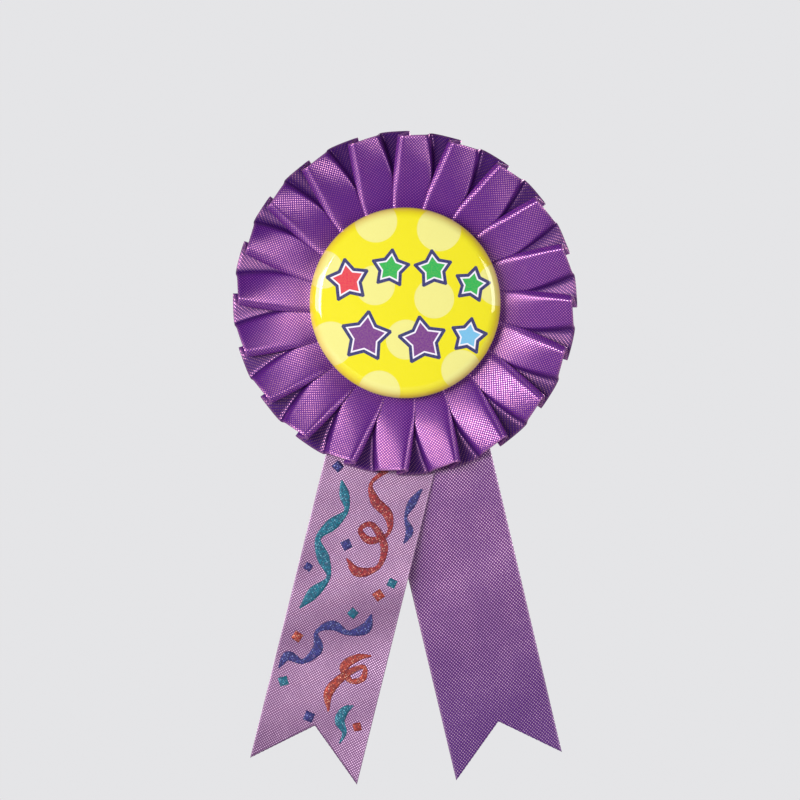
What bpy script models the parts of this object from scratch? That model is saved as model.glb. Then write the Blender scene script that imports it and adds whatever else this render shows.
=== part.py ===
"""Award ribbon: a pleated ribbon rosette with a domed button, two fishtail ribbon
tails and a bar pin on the back.

The object stands upright, +Z up, and its face looks along -Y. The origin is on
the rosette's axis, at the rear face of the back card. Heights called "level"
are measured from that face towards the front, so a level h lies at y = -h.
"""

import math

import bmesh
import bpy
from mathutils import Matrix, Vector

MM = 0.001

# Rosette
PLEATS = 20
RIBBON_WIDTH = 25.0 * MM
RIM_RADIUS = 39.2 * MM
CREST_RIM_RADIUS = 37.8 * MM
INNER_RADIUS = RIM_RADIUS - RIBBON_WIDTH
FIRST_CREASE = math.radians(-7.4)
CREASE_SWEEP = math.radians(5.0)
PANEL_WIDTH = 8.7 * MM
PLEAT_LEVEL = 2.2 * MM
RIBBON_FLOOR = 0.5 * MM
GATHER_HEIGHT = 0.9 * MM
CREST_HEIGHT = 6.0 * MM
LIFT_START = 21.0 * MM
RISER_WIDTH = 0.35 * MM
SHOULDER_SHARE = 0.47
SHOULDER_DROP_WIDTH = 0.5 * MM

# Tails
TAIL_THICKNESS = 0.3 * MM
NOTCH_DEPTH = 10.6 * MM
TAIL_TOP = 4.0 * MM
HINGE_DISTANCE = 40.3 * MM
HINGE_GAP = 0.4 * MM
LEFT_TAIL = {"lean": math.radians(14.0), "foot": 3.46 * MM, "length": 109.7 * MM, "level": 1.8 * MM}
RIGHT_TAIL = {"lean": math.radians(-13.35), "foot": -1.31 * MM, "length": 108.0 * MM, "level": 1.3 * MM}

# Button
BUTTON_RADIUS = 21.7 * MM
CROWN_RADIUS = 140.0 * MM
SHOULDER_RADIUS = 3.0 * MM
CURL_RADIUS = 0.95 * MM
BUTTON_RIM_LEVEL = 5.15 * MM
FILM = (0.0, 0.2 * MM)
ARTWORK = (0.25 * MM, 0.45 * MM)
SHELL = (0.5 * MM, 0.85 * MM)
BUTTON_STEPS = 56

# Cards and glue
BACK_CARD_RADIUS = 21.0 * MM
BACK_CARD_THICKNESS = 1.0 * MM
HUB_CARD_RADIUS = 18.5 * MM
HUB_CARD_LEVELS = (3.15 * MM, 3.95 * MM)
BUTTON_GLUE_RADIUS = 15.0 * MM
BUTTON_GLUE_LEVELS = (4.0 * MM, 4.45 * MM)
CENTRE_GLUE_RADIUS = 13.2 * MM
CENTRE_GLUE_LEVELS = (2.0 * MM, 3.1 * MM)
THREAD_RADIUS = 0.2 * MM

# Bar pin, seen from behind: the hinge is at -X and the catch at +X
PIN_HEIGHT = 8.0 * MM
BAR_LENGTH = 32.0 * MM
BAR_WIDTH = 5.0 * MM
BAR_FRONT = 0.6 * MM
BAR_THICKNESS = 0.7 * MM
NEEDLE_LINE = 5.9 * MM
NEEDLE_RADIUS = 0.4 * MM
HINGE_X = -13.0 * MM
NEEDLE_TIP_X = 15.3 * MM
NEEDLE_POINT_LENGTH = 3.0 * MM
NEEDLE_TIP_RADIUS = 0.05 * MM
NEEDLE_OVERLAP = 0.2 * MM
EAR_THICKNESS = 0.7 * MM
EAR_GAP = 1.6 * MM
EAR_RADIUS = 1.5 * MM
EYE_RADIUS = 1.2 * MM
EYE_WIDTH = 1.3 * MM
RIVET_RADIUS = 0.45 * MM
RIVET_HEAD_RADIUS = 0.85 * MM
RIVET_HEAD_THICKNESS = 0.35 * MM
PIVOT_PLAY = 0.12 * MM
KEEPER_X = (11.0 * MM, 14.0 * MM)
KEEPER_RADIUS = 2.1 * MM
KEEPER_BORE = 1.45 * MM
KEEPER_SLOT = 1.4 * MM
KEEPER_POST_WIDTH = 1.6 * MM
ROLLER_RADIUS = 1.3 * MM
ROLLER_BORE = 0.65 * MM
ROLLER_SLOT = 1.1 * MM
COLLAR_THICKNESS = 0.7 * MM
COLLAR_GAP = 0.3 * MM
TAB_REACH = 4.2 * MM
TAB_WIDTH = 1.8 * MM

FACE_FRONT = math.radians(90.0)
CUT_MARGIN = 1.0 * MM


def clear_scene():
    for item in list(bpy.data.objects):
        bpy.data.objects.remove(item, do_unlink=True)


def new_collection(name):
    collection = bpy.data.collections.new(name)
    bpy.context.scene.collection.children.link(collection)
    return collection


def make_material(name, colour, roughness, metallic=0.0):
    material = bpy.data.materials.new(name)
    material.use_nodes = True
    shader = material.node_tree.nodes["Principled BSDF"]
    shader.inputs["Base Color"].default_value = (*colour, 1.0)
    shader.inputs["Roughness"].default_value = roughness
    shader.inputs["Metallic"].default_value = metallic
    material.diffuse_color = (*colour, 1.0)
    return material


def put_in(item, collection):
    for owner in list(item.users_collection):
        owner.objects.unlink(item)
    collection.objects.link(item)


def name_piece(item, name, material):
    item.name = name
    item.data.name = name
    item.data.materials.clear()
    item.data.materials.append(material)
    put_in(item, PARTS)
    return item


def as_cutter(item, name):
    item.name = name
    item.hide_render = True
    item.display_type = "WIRE"
    put_in(item, CUTTERS)
    return item


def combine(target, tool, operation):
    modifier = target.modifiers.new(tool.name, "BOOLEAN")
    modifier.operation = operation
    modifier.object = tool
    modifier.solver = "EXACT"


def box(low, high):
    """A box between two corners, with its origin at its centre."""
    low = Vector(low)
    high = Vector(high)
    bpy.ops.mesh.primitive_cube_add(size=1.0, location=(low + high) / 2)
    item = bpy.context.object
    item.data.transform(Matrix.Diagonal((*(high - low), 1.0)))
    return item


def rod(start, end, radius, sides=32):
    """A closed cylinder from one point to another."""
    start = Vector(start)
    end = Vector(end)
    bpy.ops.mesh.primitive_cylinder_add(
        vertices=sides, radius=radius, depth=(end - start).length, location=(start + end) / 2,
        rotation=(end - start).to_track_quat("Z", "Y").to_euler())
    item = bpy.context.object
    smooth(item)
    return item


def smooth(item):
    item.data.shade_smooth()
    item.data.set_sharp_from_angle(angle=math.radians(35.0))


def bevel(item, width, segments=2):
    modifier = item.modifiers.new("edge", "BEVEL")
    modifier.width = width
    modifier.segments = segments
    modifier.limit_method = "ANGLE"


def turned(profile, steps):
    """Turns a profile of (radius, level) points, from axis to axis, round the rosette's axis."""
    mesh = bpy.data.meshes.new("turned")
    points = [(radius, 0.0, level) for radius, level in profile]
    edges = [(i, i + 1) for i in range(len(points) - 1)]
    mesh.from_pydata(points, edges, [])
    item = bpy.data.objects.new("turned", mesh)
    item.rotation_euler.x = FACE_FRONT
    PARTS.objects.link(item)
    screw = item.modifiers.new("turn", "SCREW")
    screw.steps = steps
    screw.render_steps = steps
    screw.use_merge_vertices = True
    screw.merge_threshold = 0.00002
    screw.use_smooth_shade = True
    return item


def disc(radius, levels, edge, steps=64):
    """A round card or pad between two levels, with a small chamfer of the given size."""
    low, high = levels
    profile = [
        (0.0, high),
        (radius - edge, high),
        (radius, high - edge),
        (radius, low + edge),
        (radius - edge, low),
        (0.0, low),
    ]
    return turned(profile, steps)


def arc(centre, radius, start, end, count):
    """Points on an arc; angles are measured from straight ahead towards the rim."""
    points = []
    for i in range(count + 1):
        angle = start + (end - start) * i / count
        points.append((centre[0] + radius * math.sin(angle), centre[1] + radius * math.cos(angle)))
    return points


def button_side(offset):
    """The button's section from its axis round the shoulder and the curl, moved inward."""
    shoulder_radius = BUTTON_RADIUS - SHOULDER_RADIUS
    crown_to_shoulder = CROWN_RADIUS - SHOULDER_RADIUS
    crown_end = math.asin(shoulder_radius / crown_to_shoulder)
    crown_centre = BUTTON_RIM_LEVEL - crown_to_shoulder * math.cos(crown_end)
    crown = arc((0.0, crown_centre), CROWN_RADIUS - offset, 0.0, crown_end, 2)
    shoulder = arc((shoulder_radius, BUTTON_RIM_LEVEL), SHOULDER_RADIUS - offset,
                   crown_end, math.pi / 2, 3)
    curl = arc((BUTTON_RADIUS - CURL_RADIUS, BUTTON_RIM_LEVEL), CURL_RADIUS - offset,
               math.pi / 2, math.pi, 2)
    return crown + shoulder[1:] + curl[1:]


def button_layer(name, offsets, material):
    outer = button_side(offsets[0])
    inner = button_side(offsets[1])
    return name_piece(turned(outer + inner[::-1], BUTTON_STEPS), name, material)


def make_button():
    button_layer("button_film", FILM, material_of("clear_film"))
    button_layer("button_artwork", ARTWORK, material_of("printed_paper"))
    button_layer("button_shell", SHELL, material_of("tinplate"))
    dish_radius = BUTTON_RADIUS - CURL_RADIUS - 0.25 * MM
    floor_radius = dish_radius - 1.6 * MM
    floor_level = BUTTON_GLUE_LEVELS[1] + 0.05 * MM
    plate = 0.35 * MM
    lip_rise = 0.6 * MM
    dish = [
        (0.0, floor_level + plate),
        (floor_radius - plate, floor_level + plate),
        (dish_radius - plate, floor_level + lip_rise + plate),
        (dish_radius, floor_level + lip_rise + plate),
        (dish_radius, floor_level + lip_rise),
        (floor_radius, floor_level),
        (0.0, floor_level),
    ]
    name_piece(turned(dish, BUTTON_STEPS), "button_back", material_of("tinplate"))


def make_cards_and_glue():
    name_piece(disc(BACK_CARD_RADIUS, (0.0, BACK_CARD_THICKNESS), 0.1 * MM), "back_card",
               material_of("card"))
    name_piece(disc(HUB_CARD_RADIUS, HUB_CARD_LEVELS, 0.1 * MM), "hub_card", material_of("card"))
    name_piece(disc(BUTTON_GLUE_RADIUS, BUTTON_GLUE_LEVELS, 0.15 * MM, 48), "button_glue_pad",
               material_of("glue"))
    name_piece(disc(CENTRE_GLUE_RADIUS, CENTRE_GLUE_LEVELS, 0.3 * MM, 48), "centre_glue",
               material_of("glue"))
    bpy.ops.mesh.primitive_torus_add(
        major_radius=INNER_RADIUS - 0.45 * MM, minor_radius=THREAD_RADIUS, major_segments=60,
        minor_segments=6, location=(0.0, -(PLEAT_LEVEL + GATHER_HEIGHT / 2), 0.0),
        rotation=(FACE_FRONT, 0.0, 0.0))
    name_piece(bpy.context.object, "pleat_thread", material_of("thread"))


def crest_height(radius):
    """Height of a crease above the ring's flat underside."""
    lift = max(0.0, (radius - LIFT_START) / (CREST_RIM_RADIUS - LIFT_START))
    return GATHER_HEIGHT + (CREST_HEIGHT - GATHER_HEIGHT) * lift ** 1.6


def pleat_profile(along):
    """One pleat at a share `along` of the ribbon's width, from the inner edge to the rim.

    Gives (angle after the ring's reference, radius, height) points, clockwise from the
    crease over the panel to its shoulder, down to the floor, and on to the foot of the riser.
    """
    crest_radius = INNER_RADIUS + (CREST_RIM_RADIUS - INNER_RADIUS) * along
    floor_radius = INNER_RADIUS + RIBBON_WIDTH * along
    crease = FIRST_CREASE + CREASE_SWEEP * (crest_radius - BUTTON_RADIUS) / (
        CREST_RIM_RADIUS - BUTTON_RADIUS)
    pitch = 2 * math.pi / PLEATS
    riser = RISER_WIDTH / floor_radius
    foot = pitch - riser
    drop = SHOULDER_DROP_WIDTH / floor_radius
    height = crest_height(crest_radius)
    shoulder_height = RIBBON_FLOOR + SHOULDER_SHARE * (height - GATHER_HEIGHT)
    across = math.sqrt(PANEL_WIDTH ** 2 - (height - RIBBON_FLOOR) ** 2)
    shoulder = min(across / floor_radius, foot - riser - drop)
    points = [(crease, crest_radius, height)]
    for share in (0.4, 0.75):
        points.append((crease + shoulder * share, crest_radius + (floor_radius - crest_radius) * share,
                       shoulder_height + (height - shoulder_height) * (1.0 - share ** 1.5)))
    points.append((crease + shoulder, floor_radius, shoulder_height))
    points.append((crease + shoulder + drop, floor_radius, RIBBON_FLOOR))
    points.append((crease + foot, floor_radius, RIBBON_FLOOR))
    return points


def ring_point(angle, radius, level):
    """Clockwise angle from the top, seen from the front."""
    return Vector((radius * math.sin(angle), radius * math.cos(angle), level))


def make_pleated_ribbon():
    """A ring lofted through one pleated section at each of several radii."""
    mesh = bmesh.new()
    pitch = 2 * math.pi / PLEATS
    upper = []
    lower = []
    for share in (0.0, 0.28, 0.46, 0.64, 0.82, 1.0):
        top = []
        bottom = []
        for pleat in range(PLEATS):
            for angle, radius, height in pleat_profile(share):
                around = angle + pleat * pitch
                top.append(mesh.verts.new(ring_point(around, radius, PLEAT_LEVEL + height)))
                bottom.append(mesh.verts.new(ring_point(around, radius, PLEAT_LEVEL)))
        upper.append(top)
        lower.append(bottom)
    count = len(upper[0])
    for i in range(count):
        j = (i + 1) % count
        for near, far in zip(range(len(upper) - 1), range(1, len(upper))):
            mesh.faces.new((upper[near][j], upper[near][i], upper[far][i], upper[far][j]))
            mesh.faces.new((lower[near][i], lower[near][j], lower[far][j], lower[far][i]))
        mesh.faces.new((upper[0][i], upper[0][j], lower[0][j], lower[0][i]))
        mesh.faces.new((upper[-1][j], upper[-1][i], lower[-1][i], lower[-1][j]))
    bmesh.ops.recalc_face_normals(mesh, faces=mesh.faces)
    data = bpy.data.meshes.new("pleated_ribbon")
    mesh.to_mesh(data)
    mesh.free()
    item = bpy.data.objects.new("pleated_ribbon", data)
    item.rotation_euler.x = FACE_FRONT
    name_piece(item, "pleated_ribbon", material_of("purple_satin"))


def flat_strip(outline, thickness):
    """A flat outline in the object's own XY plane, with a thickness."""
    curve = bpy.data.curves.new("strip", "CURVE")
    curve.dimensions = "2D"
    curve.fill_mode = "BOTH"
    curve.extrude = thickness / 2
    spline = curve.splines.new("POLY")
    spline.points.add(len(outline) - 1)
    for point, (x, y) in zip(spline.points, outline):
        point.co = (x, y, 0.0, 1.0)
    spline.use_cyclic_u = True
    item = bpy.data.objects.new("strip", curve)
    PARTS.objects.link(item)
    return item


def make_tail(name, tail, material):
    """A tail's glued top and its free length, split at the line where it swings."""
    half = RIBBON_WIDTH / 2
    reach = tail["length"] - HINGE_DISTANCE
    free = [(-half, -HINGE_GAP / 2), (half, -HINGE_GAP / 2), (half, -reach),
            (0.0, -reach + NOTCH_DEPTH), (-half, -reach)]
    top = [(-half, HINGE_GAP / 2), (half, HINGE_GAP / 2),
           (half, HINGE_DISTANCE - TAIL_TOP), (-half, HINGE_DISTANCE - TAIL_TOP)]
    hinge = Vector((tail["foot"] - HINGE_DISTANCE * math.sin(tail["lean"]), -tail["level"],
                    -HINGE_DISTANCE * math.cos(tail["lean"])))
    for piece, outline in ((name, free), (name + "_top", top)):
        item = flat_strip(outline, TAIL_THICKNESS)
        item.location = hinge
        item.rotation_euler = (FACE_FRONT, tail["lean"], 0.0)
        name_piece(item, piece, material)


def pin_point(x, across=0.0, back=0.0):
    """A point given from the needle's line: along the bar, across it, and to the back."""
    return (x, NEEDLE_LINE + back, PIN_HEIGHT + across)


def make_pin_base():
    """Bar, two hinge ears and the C-shaped keeper, as one bent piece."""
    bar_back = BAR_FRONT + BAR_THICKNESS
    bar = box((-BAR_LENGTH / 2, BAR_FRONT, PIN_HEIGHT - BAR_WIDTH / 2),
              (BAR_LENGTH / 2, bar_back, PIN_HEIGHT + BAR_WIDTH / 2))
    for side in (-1, 1):
        inner = PIN_HEIGHT + side * EAR_GAP / 2
        outer = inner + side * EAR_THICKNESS
        plate = box((HINGE_X - EAR_RADIUS, BAR_FRONT + BAR_THICKNESS / 2, min(inner, outer)),
                    (HINGE_X + EAR_RADIUS, NEEDLE_LINE, max(inner, outer)))
        cap = rod((HINGE_X, NEEDLE_LINE, inner), (HINGE_X, NEEDLE_LINE, outer), EAR_RADIUS, 24)
        for tool, label in ((plate, "ear_plate"), (cap, "ear_cap")):
            combine(bar, as_cutter(tool, f"{label}_{side}"), "UNION")
    post = box((KEEPER_X[0], BAR_FRONT + BAR_THICKNESS / 2, PIN_HEIGHT - KEEPER_POST_WIDTH / 2),
               (KEEPER_X[1], NEEDLE_LINE - KEEPER_BORE, PIN_HEIGHT + KEEPER_POST_WIDTH / 2))
    keeper = rod(pin_point(KEEPER_X[0]), pin_point(KEEPER_X[1]), KEEPER_RADIUS)
    combine(bar, as_cutter(post, "keeper_post"), "UNION")
    combine(bar, as_cutter(keeper, "keeper_ring"), "UNION")
    bore = rod(pin_point(KEEPER_X[0] - CUT_MARGIN), pin_point(KEEPER_X[1] + CUT_MARGIN), KEEPER_BORE)
    slot = box(pin_point(KEEPER_X[0] - CUT_MARGIN, -KEEPER_SLOT / 2),
               pin_point(KEEPER_X[1] + CUT_MARGIN, KEEPER_SLOT / 2, KEEPER_RADIUS + CUT_MARGIN))
    pivot = rod(pin_point(HINGE_X, -BAR_WIDTH), pin_point(HINGE_X, BAR_WIDTH),
                RIVET_RADIUS + PIVOT_PLAY, 24)
    for tool, label in ((bore, "keeper_bore"), (slot, "keeper_slot"), (pivot, "pivot_hole")):
        combine(bar, as_cutter(tool, label), "DIFFERENCE")
    name_piece(bar, "pin_base", material_of("nickel"))


def make_rivet():
    """A straight shank with a flat head at each end."""
    head_start = EAR_GAP / 2 + EAR_THICKNESS + 0.1 * MM
    head_end = head_start + RIVET_HEAD_THICKNESS
    shank = rod(pin_point(HINGE_X, -head_end), pin_point(HINGE_X, head_end), RIVET_RADIUS, 24)
    for side in (-1, 1):
        head = rod(pin_point(HINGE_X, side * head_start), pin_point(HINGE_X, side * head_end),
                   RIVET_HEAD_RADIUS, 24)
        combine(shank, as_cutter(head, f"rivet_head_{side}"), "UNION")
    name_piece(shank, "pin_rivet", material_of("steel"))


def make_needle():
    """An eye on the rivet and a straight shaft with a sharp point."""
    eye = rod(pin_point(HINGE_X, -EYE_WIDTH / 2), pin_point(HINGE_X, EYE_WIDTH / 2), EYE_RADIUS)
    shaft_end = NEEDLE_TIP_X - NEEDLE_POINT_LENGTH
    shaft = rod(pin_point(HINGE_X + EYE_RADIUS * 0.75), pin_point(shaft_end), NEEDLE_RADIUS, 16)
    bpy.ops.mesh.primitive_cone_add(
        vertices=16, radius1=NEEDLE_RADIUS, radius2=NEEDLE_TIP_RADIUS,
        depth=NEEDLE_POINT_LENGTH + NEEDLE_OVERLAP,
        location=pin_point((shaft_end + NEEDLE_TIP_X - NEEDLE_OVERLAP) / 2),
        rotation=(0.0, math.radians(90.0), 0.0))
    point = bpy.context.object
    combine(eye, as_cutter(shaft, "needle_shaft"), "UNION")
    combine(eye, as_cutter(point, "needle_point"), "UNION")
    hole = rod(pin_point(HINGE_X, -BAR_WIDTH), pin_point(HINGE_X, BAR_WIDTH),
               RIVET_RADIUS + PIVOT_PLAY, 24)
    combine(eye, as_cutter(hole, "needle_eye_hole"), "DIFFERENCE")
    name_piece(eye, "pin_needle", material_of("steel"))


def make_catch():
    """A slotted roller with a collar at each end and a thumb tab on the outer collar."""
    inner_collar = KEEPER_X[0] - COLLAR_GAP - COLLAR_THICKNESS
    outer_collar = KEEPER_X[1] + COLLAR_GAP
    end = outer_collar + COLLAR_THICKNESS
    roller = rod(pin_point(inner_collar), pin_point(end), ROLLER_RADIUS)
    for start, label in ((inner_collar, "inner_collar"), (outer_collar, "outer_collar")):
        collar = rod(pin_point(start), pin_point(start + COLLAR_THICKNESS), KEEPER_RADIUS)
        combine(roller, as_cutter(collar, label), "UNION")
    tab = box(pin_point(outer_collar, -TAB_REACH, -TAB_WIDTH / 2),
              pin_point(end, -ROLLER_RADIUS, TAB_WIDTH / 2))
    combine(roller, as_cutter(tab, "thumb_tab"), "UNION")
    bore = rod(pin_point(inner_collar - CUT_MARGIN), pin_point(end + CUT_MARGIN), ROLLER_BORE, 24)
    slot = box(pin_point(inner_collar - CUT_MARGIN, -ROLLER_SLOT / 2),
               pin_point(end + CUT_MARGIN, ROLLER_SLOT / 2, KEEPER_RADIUS + CUT_MARGIN))
    combine(roller, as_cutter(bore, "roller_bore"), "DIFFERENCE")
    combine(roller, as_cutter(slot, "roller_slot"), "DIFFERENCE")
    name_piece(roller, "pin_catch", material_of("nickel"))


def make_pin_glue():
    pad = box((-BAR_LENGTH / 2 + 1.0 * MM, 0.05 * MM, PIN_HEIGHT - 3.5 * MM),
              (BAR_LENGTH / 2 - 1.0 * MM, 0.55 * MM, PIN_HEIGHT + 3.5 * MM))
    bevel(pad, 0.2 * MM)
    name_piece(pad, "pin_glue_pad", material_of("glue"))


FINISHES = {
    "clear_film": ((0.92, 0.85, 0.05), 0.08, 0.0),
    "printed_paper": ((0.90, 0.83, 0.03), 0.6, 0.0),
    "tinplate": ((0.62, 0.62, 0.60), 0.3, 1.0),
    "card": ((0.80, 0.78, 0.74), 0.85, 0.0),
    "glue": ((0.75, 0.70, 0.58), 0.4, 0.0),
    "thread": ((0.20, 0.05, 0.32), 0.8, 0.0),
    "purple_satin": ((0.16, 0.035, 0.26), 0.45, 0.0),
    "lilac_satin": ((0.42, 0.24, 0.45), 0.45, 0.0),
    "nickel": ((0.70, 0.68, 0.64), 0.22, 1.0),
    "steel": ((0.55, 0.55, 0.56), 0.25, 1.0),
}
MATERIALS = {}


def material_of(name):
    if name not in MATERIALS:
        MATERIALS[name] = make_material(name, *FINISHES[name])
    return MATERIALS[name]


clear_scene()
PARTS = new_collection("award_ribbon")
CUTTERS = new_collection("cutters")
make_button()
make_cards_and_glue()
make_pleated_ribbon()
make_tail("tail_left", LEFT_TAIL, material_of("lilac_satin"))
make_tail("tail_right", RIGHT_TAIL, material_of("purple_satin"))
make_pin_glue()
make_pin_base()
make_rivet()
make_needle()
make_catch()
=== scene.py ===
import math

import bmesh
import bpy
import numpy as np
from mathutils import Matrix, Vector


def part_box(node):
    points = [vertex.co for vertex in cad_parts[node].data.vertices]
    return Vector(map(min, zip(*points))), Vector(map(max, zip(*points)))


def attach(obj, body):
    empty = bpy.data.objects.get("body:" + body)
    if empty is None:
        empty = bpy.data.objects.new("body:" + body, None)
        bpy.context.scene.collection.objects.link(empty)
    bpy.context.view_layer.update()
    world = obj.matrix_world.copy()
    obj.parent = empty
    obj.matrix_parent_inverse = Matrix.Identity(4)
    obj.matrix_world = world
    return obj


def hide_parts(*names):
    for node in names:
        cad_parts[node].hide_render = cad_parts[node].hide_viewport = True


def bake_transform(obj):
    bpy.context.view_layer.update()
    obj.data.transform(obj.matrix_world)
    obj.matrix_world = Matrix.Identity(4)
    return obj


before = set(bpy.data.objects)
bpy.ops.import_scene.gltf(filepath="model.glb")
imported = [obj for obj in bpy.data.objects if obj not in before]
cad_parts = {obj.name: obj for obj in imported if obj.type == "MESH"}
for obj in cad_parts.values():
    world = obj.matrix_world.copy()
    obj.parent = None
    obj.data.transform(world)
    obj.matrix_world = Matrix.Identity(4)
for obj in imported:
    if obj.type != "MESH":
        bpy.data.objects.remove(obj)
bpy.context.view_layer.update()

MM = 0.001
# how close two points have to be to count as one, in mm
WELD = 0.0002
NODE_WELD = 0.002

# The pleated ring: lengths in mm, angles clockwise from the top as seen from the front. Heights
# are counted forward from a plane that is PLEAT_LEVEL in front of y 0.
PLEATS = 20
PITCH = math.tau / PLEATS
RIBBON_WIDTH = 25.0
RIM_RADIUS = 39.2
CREST_RIM_RADIUS = 37.8
INNER_RADIUS = RIM_RADIUS - RIBBON_WIDTH
FIRST_CREASE = math.radians(-7.4)
CREASE_SWEEP = math.radians(5.0)
PANEL_WIDTH = 8.7
PANEL_STATIONS = (0.28, 0.44, 0.60, 0.75, 0.89, 1.0)
PLEAT_LEVEL = 2.2
RIBBON_FLOOR = 0.5
GATHER_HEIGHT = 0.9
CREST_HEIGHT = 6.0
SHOULDER_HEIGHT = 2.4
# the crests rise from the gather outside this radius, slowly at first
LIFT_START = 21.0
LIFT_POWER = 1.6
# how far the hidden fold reaches under the next panel at the gather, and how much less at the rim
GATHER_OVERLAP = 4.5
RIM_OVERLAP_LOSS = 1.9
# the height of crest at which its creases are fully rounded
FULL_ROUNDING_FALL = 2.4
# the length of flat ribbon that one pleat takes up in the weave's coordinates
PLEAT_STRIP = 22.9
CLOTH = 0.13
PLEAT_ROWS = 32
SPLINE_STEPS = 4
CONTROLS_TO_FOLD = 14
RIM_WAVE = 0.18

# The tails, in mm. Across is counted to the right from the cloth's middle line, and along is
# counted down it from the level of the rosette's centre.
TAIL_CLOTH = 0.2
TAIL_COLUMNS = 121
TAIL_ROWS = 190
INK = 0.02
INK_GAP = 0.03
INK_STEP = 0.004
STREAMER_SWELL = 1.2
STREAMER_LEAST = 0.3
CONFETTI_HALF = 0.57
NOTCH_DEPTH = 10.6
CUT_TEETH = (0.0, 0.04, 0.08, 0.04)
TAIL_TOP = 4.0
HINGE_DISTANCE = 40.3
FREE_AFTER, FREE_OVER = 1.0, 24.0
DROOP_AFTER, DROOP_OVER = 8.0, 60.0
WAVE_START = 40.0
WAVE_HEIGHT, WAVE_LENGTH = 0.45, 62.0
RIPPLE_HEIGHT, RIPPLE_LENGTH, RIPPLE_SLANT = 0.16, 23.0, 41.0
EDGE_CURL = 0.28
SIDE_LEAN = 0.22
# The middle line is x = foot - along * sin(lean). The cloth lies level mm in front of y 0, and its
# free part stands forward where side is 1 and back where it is -1.
LEFT_TAIL = {"lean": math.radians(14.0), "foot": 3.46, "length": 109.7, "level": 1.8, "side": 1,
             "phase": 0.6, "droop": 0.6, "askew": 0.0}
RIGHT_TAIL = {"lean": math.radians(-13.35), "foot": -1.31, "length": 108.8, "level": 1.3, "side": -1,
              "phase": 2.1, "droop": 2.6, "askew": 0.4}

# The button, in mm
BUTTON_RADIUS = 21.7
CROWN_RADIUS = 140.0
SHOULDER_RADIUS = 3.0
CURL_RADIUS = 0.95
BUTTON_RIM_LEVEL = 5.15
FACE_THICKNESS = 0.4
BUTTON_STEPS = 288
OUTER_STEPS = (26, 22, 12)
INNER_STEPS = (10, 10, 8)
CRIMP_FOLDS = 96
CRIMP_BAND = 0.4

# The satin's colouring, in mm: the selvedge in from the cloth's edge, a tail's painted shade along it from
# the rosette's centre, and the painted shade on the gaps' floors along each pleat's strip from its crest
SELVEDGE = (0.55, 0.2)
PAINTED_SHADE_OF_GROUND = (55.0, 108.0)
PAINTED_SHADE_OF_FLOATS = (62.0, 110.0)
GAP_PAINTED_SHADE_STARTS = (8.4, 10.2)
GAP_PAINTED_SHADE_ENDS = (15.5, 19.5)
GAP_PAINTED_SHADE_TINT = (0.25, 0.10, 0.42)

# The two diagonals of each satin's thread floats, in floats per mm across and along the ribbon
LILAC_WEAVE = ((1.54, -1.55), (1.36, 1.47))
TAIL_WEAVE = ((1.39, -1.00), (1.36, 1.53))
PLEAT_WEAVE = ((1.45, -1.20), (1.36, 1.50))

# The studio, in metres. The view's width is measured in the plane y = VIEW_DEPTH.
VIEW_WIDTH = 0.18184
VIEW_DEPTH = -0.004
VIEW_CENTRE = (-0.00114, -0.02205)
CAMERA_DISTANCE = 1.0
SENSOR_MM = 36.0
LIGHT_TARGET = (0.0, 0.0, -0.02)
# name, place, width, height, watts and colour of each light
LIGHTS = (("key", (-0.42, -0.82, 0.09), 0.26, 0.26, 5.3, (1.0, 0.98, 0.97)),
          ("left", (-0.70, -0.56, 0.11), 0.56, 0.32, 7.0, (1.0, 0.98, 0.97)),
          ("side", (0.74, -0.52, 0.16), 0.55, 0.45, 5.5, (0.97, 0.98, 1.0)),
          ("back_key", (0.50, 0.75, 0.25), 0.45, 0.45, 10.0, (1.0, 1.0, 1.0)))
WORLD_COLOUR = (0.92, 0.92, 0.94, 1.0)
WORLD_LIGHTING = 0.035
WORLD_SHOWN = 0.85
FLOOR_COLOUR = (0.64, 0.64, 0.65)
FLOOR_RADIUS = 0.45
FLOOR_LEVEL = -0.16

rng = np.random.RandomState(20)


# ---------------------------------------------------------------- meshes

def new_object(name, mesh):
    item = bpy.data.objects.new(name, mesh)
    bpy.context.scene.collection.objects.link(item)
    return item


def uv_mesh(name, points, faces, corners):
    """A smooth mesh from points in mm and, for each face's corners in turn, its UV."""
    mesh = bpy.data.meshes.new(name)
    mesh.from_pydata((points * MM).tolist(), [], faces)
    layer = mesh.uv_layers.new(name="weave")
    layer.data.foreach_set("uv", np.array(corners, dtype=np.float32).ravel())
    mesh.shade_smooth()
    mesh.update()
    return mesh


def sheet_mesh(name, points, uv_start, uv_end, closed):
    """A grid of rows x columns points in mm. Each column has one UV where a face starts there
    and one where a face ends there, so that a seam can lie on a column."""
    rows, columns, _ = points.shape
    faces = []
    corners = []
    last = columns if closed else columns - 1
    for i in range(rows - 1):
        for j in range(last):
            k = (j + 1) % columns
            faces.append((i * columns + j, i * columns + k, (i + 1) * columns + k, (i + 1) * columns + j))
            corners.extend((uv_start[i][j], uv_end[i][k], uv_end[i + 1][k], uv_start[i + 1][j]))
    return uv_mesh(name, points.reshape(-1, 3), faces, corners)


def thicken(item, thickness):
    """Turns a surface into a closed sheet that is thickness mm thick, half on each side."""
    modifier = item.modifiers.new("thickness", "SOLIDIFY")
    modifier.thickness = thickness * MM
    modifier.offset = 0.0
    modifier.use_even_offset = False
    graph = bpy.context.evaluated_depsgraph_get()
    mesh = bpy.data.meshes.new_from_object(item.evaluated_get(graph), depsgraph=graph)
    item.modifiers.clear()
    item.data = mesh


def around_axis(radius, level, angles):
    """Points at these radii and angles round the rosette's axis, level mm in front of y 0."""
    return np.stack((radius * np.sin(angles), np.broadcast_to(-level, angles.shape),
                     radius * np.cos(angles)), axis=-1)


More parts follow.
